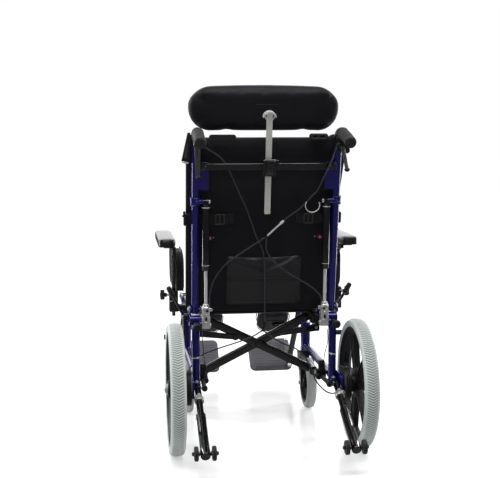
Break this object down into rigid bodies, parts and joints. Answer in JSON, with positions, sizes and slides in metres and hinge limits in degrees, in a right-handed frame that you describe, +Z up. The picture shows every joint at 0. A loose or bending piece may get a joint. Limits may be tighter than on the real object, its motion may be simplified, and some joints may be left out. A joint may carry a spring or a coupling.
{
  "type": "folding reclining wheelchair",
  "caption": "Folding wheelchair with a gas-spring reclining back, headrest, elevating legrests, hub brakes, moulded wheels and anti-tip rollers.",
  "frame": {"origin": "on the floor, under the middle of the chair's outline", "axes": "+Y forwards, the way the sitter faces; +X to the sitter's right; +Z up"},
  "size_m": [0.646, 1.2677, 1.1215],
  "materials": {
    "blue_paint": "glossy dark blue powder coat",
    "black_paint": "satin black powder coat",
    "black_plastic": "moulded black plastic",
    "black_rubber": "black rubber",
    "grey_tyre": "pale grey tyre",
    "bare_steel": "bare steel",
    "zinc": "zinc plated",
    "black_fabric": "black coated nylon",
    "grey_plastic": "dark grey moulded plastic",
    "black_vinyl": "black vinyl",
    "cable_sheath": "black plastic sheath"
  },
  "bodies": {
    "left_side": {"side_frame_left": "blue_paint", "hub_brake_left": "black_plastic", "anti_tip_tube_left": "black_paint", "brake_cable": "cable_sheath"},
    "right_side": {"side_frame_right": "blue_paint", "hub_brake_right": "black_plastic", "anti_tip_tube_right": "black_paint"},
    "back_left": {"back_cane_left": "blue_paint", "push_grip_left": "black_rubber", "crossbar": "black_paint", "back_upholstery": "black_fabric", "release_cable": "cable_sheath"},
    "back_right": {"back_cane_right": "blue_paint", "push_grip_right": "black_rubber"},
    "seat": {"seat_sling": "black_fabric", "seat_cushion": "black_fabric"},
    "headrest_post": {"headrest_post": "bare_steel"},
    "headrest": {"headrest_bracket": "bare_steel", "headrest_pad": "black_fabric"},
    "headrest_lever": {"headrest_clamp_lever": "black_plastic"},
    "rear_wheel_left": {"rear_wheel_left": "black_plastic", "rear_tyre_left": "grey_tyre"},
    "caster_fork_left": {"caster_fork_left": "black_paint"},
    "caster_wheel_left": {"caster_wheel_left": "grey_tyre"},
    "anti_tip_sleeve_left": {"anti_tip_sleeve_left": "black_paint"},
    "anti_tip_rollers_left": {"anti_tip_rollers_left": "black_rubber"},
    "armrest_left": {"armrest_left": "black_paint", "arm_pad_left": "black_vinyl", "hip_cushion_left": "black_fabric"},
    "star_knob_left": {"star_knob_left": "black_plastic"},
    "wheel_lock_left": {"wheel_lock_left": "black_paint"},
    "legrest_left": {"legrest_hanger_left": "black_paint", "calf_pad_left": "black_vinyl"},
    "footplate_left": {"footplate_left": "grey_plastic"},
    "hand_lever_left": {"hand_lever_left": "black_plastic"},
    "gas_cylinder_left": {"gas_cylinder_left": "black_paint"},
    "gas_rod_left": {"gas_rod_left": "zinc"},
    "cross_arm_left": {"cross_arm_left": "black_paint"},
    "brace_link_left": {"brace_link_left": "black_paint"},
    "rear_wheel_right": {"rear_wheel_right": "black_plastic", "rear_tyre_right": "grey_tyre"},
    "caster_fork_right": {"caster_fork_right": "black_paint"},
    "caster_wheel_right": {"caster_wheel_right": "grey_tyre"},
    "anti_tip_sleeve_right": {"anti_tip_sleeve_right": "black_paint"},
    "anti_tip_rollers_right": {"anti_tip_rollers_right": "black_rubber"},
    "armrest_right": {"armrest_right": "black_paint", "arm_pad_right": "black_vinyl", "hip_cushion_right": "black_fabric"},
    "star_knob_right": {"star_knob_right": "black_plastic"},
    "wheel_lock_right": {"wheel_lock_right": "black_paint"},
    "legrest_right": {"legrest_hanger_right": "black_paint", "calf_pad_right": "black_vinyl"},
    "footplate_right": {"footplate_right": "grey_plastic"},
    "hand_lever_right": {"hand_lever_right": "black_plastic"},
    "gas_cylinder_right": {"gas_cylinder_right": "black_paint"},
    "gas_rod_right": {"gas_rod_right": "zinc"},
    "cross_arm_right": {"cross_arm_right": "black_paint"},
    "brace_link_right": {"brace_link_right": "black_paint"}
  },
  "joints": [
    {"name": "fold", "type": "slide", "parent": "left_side", "child": "right_side", "axis": [-1, 0, 0], "range_m": [0, 0.11], "deforming": ["seat_sling", "seat_cushion", "back_upholstery", "release_cable", "brake_cable"]},
    {"name": "seat_lift", "type": "slide", "parent": "left_side", "child": "seat", "axis": [0, 0, 1], "range_m": [0, 0.1367]},
    {"name": "back_recline", "type": "hinge", "parent": "left_side", "child": "back_left", "pos_m": [-0.215, -0.26282, 0.43], "axis": [1, 0, 0], "range_deg": [0, 45], "deforming": ["brake_cable"]},
    {"name": "back_recline_right", "type": "hinge", "parent": "right_side", "child": "back_right", "pos_m": [0.215, -0.26282, 0.43], "axis": [1, 0, 0], "range_deg": [0, 45.5]},
    {"name": "headrest_height", "type": "slide", "parent": "back_left", "child": "headrest_post", "axis": [0, -0.1736, 0.9848], "range_m": [0, 0.08]},
    {"name": "headrest_tilt", "type": "hinge", "parent": "headrest_post", "child": "headrest", "pos_m": [0, -0.39334, 1.02335], "axis": [1, 0, 0], "range_deg": [-12, 12]},
    {"name": "headrest_clamp", "type": "hinge", "parent": "back_left", "child": "headrest_lever", "pos_m": [0, -0.39701, 0.88867], "axis": [-1, 0, 0], "range_deg": [0, 80]},
    {"name": "rear_wheel_spin_left", "type": "hinge", "parent": "left_side", "child": "rear_wheel_left", "pos_m": [-0.283, -0.34782, 0.2], "axis": [1, 0, 0], "continuous": true},
    {"name": "caster_swivel_left", "type": "hinge", "parent": "left_side", "child": "caster_fork_left", "pos_m": [-0.215, 0.16918, 0.2], "axis": [0, 0, 1], "continuous": true},
    {"name": "caster_spin_left", "type": "hinge", "parent": "caster_fork_left", "child": "caster_wheel_left", "pos_m": [-0.215, 0.11718, 0.09], "axis": [1, 0, 0], "continuous": true},
    {"name": "anti_tip_height_left", "type": "slide", "parent": "left_side", "child": "anti_tip_sleeve_left", "axis": [0, 0.9107, 0.4131], "range_m": [-0.03, 0.04]},
    {"name": "anti_tip_roll_left", "type": "hinge", "parent": "anti_tip_sleeve_left", "child": "anti_tip_rollers_left", "pos_m": [-0.215, -0.61336, 0.08027], "axis": [1, 0, 0], "continuous": true},
    {"name": "armrest_height_left", "type": "slide", "parent": "left_side", "child": "armrest_left", "axis": [0, 0, 1], "range_m": [0, 0.08]},
    {"name": "armrest_knob_left", "type": "hinge", "parent": "left_side", "child": "star_knob_left", "pos_m": [-0.3, -0.08082, 0.448], "axis": [1, 0, 0], "continuous": true},
    {"name": "wheel_lock_swing_left", "type": "hinge", "parent": "left_side", "child": "wheel_lock_left", "pos_m": [-0.24, -0.15282, 0.385], "axis": [-1, 0, 0], "range_deg": [0, 29]},
    {"name": "legrest_raise_left", "type": "hinge", "parent": "left_side", "child": "legrest_left", "pos_m": [-0.215, 0.22718, 0.395], "axis": [1, 0, 0], "range_deg": [0, 45]},
    {"name": "footplate_flip_left", "type": "hinge", "parent": "legrest_left", "child": "footplate_left", "pos_m": [-0.215, 0.52726, 0.0732], "axis": [0, -0.7314, -0.682], "range_deg": [0, 90]},
    {"name": "hand_lever_squeeze_left", "type": "hinge", "parent": "back_left", "child": "hand_lever_left", "pos_m": [-0.215, -0.4067, 0.94078], "axis": [-1, 0, 0], "range_deg": [0, 20], "stiffness_Nm_per_rad": 0.6, "springref_deg": -17.19},
    {"name": "gas_rod_swing_left", "type": "hinge", "parent": "left_side", "child": "gas_rod_left", "pos_m": [-0.185, -0.30282, 0.385], "axis": [1, 0, 0], "range_deg": [0, 45]},
    {"name": "gas_cylinder_swing_left", "type": "hinge", "parent": "back_left", "child": "gas_cylinder_left", "pos_m": [-0.185, -0.33455, 0.76767], "axis": [1, 0, 0], "range_deg": [-5, 0]},
    {"name": "cross_arm_swing_left", "type": "hinge", "parent": "left_side", "child": "cross_arm_left", "pos_m": [-0.181, -0.12082, 0.197], "axis": [0, -1, 0], "range_deg": [0, 25.43]},
    {"name": "brace_link_swing_left", "type": "hinge", "parent": "left_side", "child": "brace_link_left", "pos_m": [-0.2, -0.12082, 0.33], "axis": [0, -1, 0], "range_deg": [0, 50.64]},
    {"name": "rear_wheel_spin_right", "type": "hinge", "parent": "right_side", "child": "rear_wheel_right", "pos_m": [0.283, -0.34782, 0.2], "axis": [1, 0, 0], "continuous": true},
    {"name": "caster_swivel_right", "type": "hinge", "parent": "right_side", "child": "caster_fork_right", "pos_m": [0.215, 0.16918, 0.2], "axis": [0, 0, 1], "continuous": true},
    {"name": "caster_spin_right", "type": "hinge", "parent": "caster_fork_right", "child": "caster_wheel_right", "pos_m": [0.215, 0.11718, 0.09], "axis": [1, 0, 0], "continuous": true},
    {"name": "anti_tip_height_right", "type": "slide", "parent": "right_side", "child": "anti_tip_sleeve_right", "axis": [0, 0.9107, 0.4131], "range_m": [-0.03, 0.04]},
    {"name": "anti_tip_roll_right", "type": "hinge", "parent": "anti_tip_sleeve_right", "child": "anti_tip_rollers_right", "pos_m": [0.215, -0.61336, 0.08027], "axis": [1, 0, 0], "continuous": true},
    {"name": "armrest_height_right", "type": "slide", "parent": "right_side", "child": "armrest_right", "axis": [0, 0, 1], "range_m": [0, 0.08]},
    {"name": "armrest_knob_right", "type": "hinge", "parent": "right_side", "child": "star_knob_right", "pos_m": [0.3, -0.08082, 0.448], "axis": [1, 0, 0], "continuous": true},
    {"name": "wheel_lock_swing_right", "type": "hinge", "parent": "right_side", "child": "wheel_lock_right", "pos_m": [0.24, -0.15282, 0.385], "axis": [-1, 0, 0], "range_deg": [0, 29]},
    {"name": "legrest_raise_right", "type": "hinge", "parent": "right_side", "child": "legrest_right", "pos_m": [0.215, 0.22718, 0.395], "axis": [1, 0, 0], "range_deg": [0, 45]},
    {"name": "footplate_flip_right", "type": "hinge", "parent": "legrest_right", "child": "footplate_right", "pos_m": [0.215, 0.52726, 0.0732], "axis": [0, 0.7314, 0.682], "range_deg": [0, 90]},
    {"name": "hand_lever_squeeze_right", "type": "hinge", "parent": "back_right", "child": "hand_lever_right", "pos_m": [0.215, -0.4067, 0.94078], "axis": [-1, 0, 0], "range_deg": [0, 20], "stiffness_Nm_per_rad": 0.6, "springref_deg": -17.19},
    {"name": "gas_rod_swing_right", "type": "hinge", "parent": "right_side", "child": "gas_rod_right", "pos_m": [0.185, -0.30282, 0.385], "axis": [1, 0, 0], "range_deg": [0, 45]},
    {"name": "gas_cylinder_swing_right", "type": "hinge", "parent": "back_right", "child": "gas_cylinder_right", "pos_m": [0.185, -0.33455, 0.76767], "axis": [1, 0, 0], "range_deg": [-5, 0]},
    {"name": "cross_arm_swing_right", "type": "hinge", "parent": "right_side", "child": "cross_arm_right", "pos_m": [0.181, -0.12082, 0.197], "axis": [0, 1, 0], "range_deg": [0, 25.43]},
    {"name": "brace_link_swing_right", "type": "hinge", "parent": "right_side", "child": "brace_link_right", "pos_m": [0.2, -0.12082, 0.33], "axis": [0, 1, 0], "range_deg": [0, 50.64]}
  ],
  "couplings": [
    {"joint": "seat_lift", "follows": "fold", "ratio": 1.2337},
    {"joint": "back_recline_right", "follows": "back_recline", "ratio": 1},
    {"joint": "gas_rod_swing_left", "follows": "back_recline", "ratio": 0.92687},
    {"joint": "gas_cylinder_swing_left", "follows": "back_recline", "ratio": -0.07313},
    {"joint": "cross_arm_swing_left", "follows": "fold", "rad_per_m": 3.9549},
    {"joint": "brace_link_swing_left", "follows": "fold", "rad_per_m": 7.9557},
    {"joint": "gas_rod_swing_right", "follows": "back_recline", "ratio": 0.92687},
    {"joint": "gas_cylinder_swing_right", "follows": "back_recline", "ratio": -0.07313},
    {"joint": "cross_arm_swing_right", "follows": "fold", "rad_per_m": 3.9549},
    {"joint": "brace_link_swing_right", "follows": "fold", "rad_per_m": 7.9557}
  ]
}
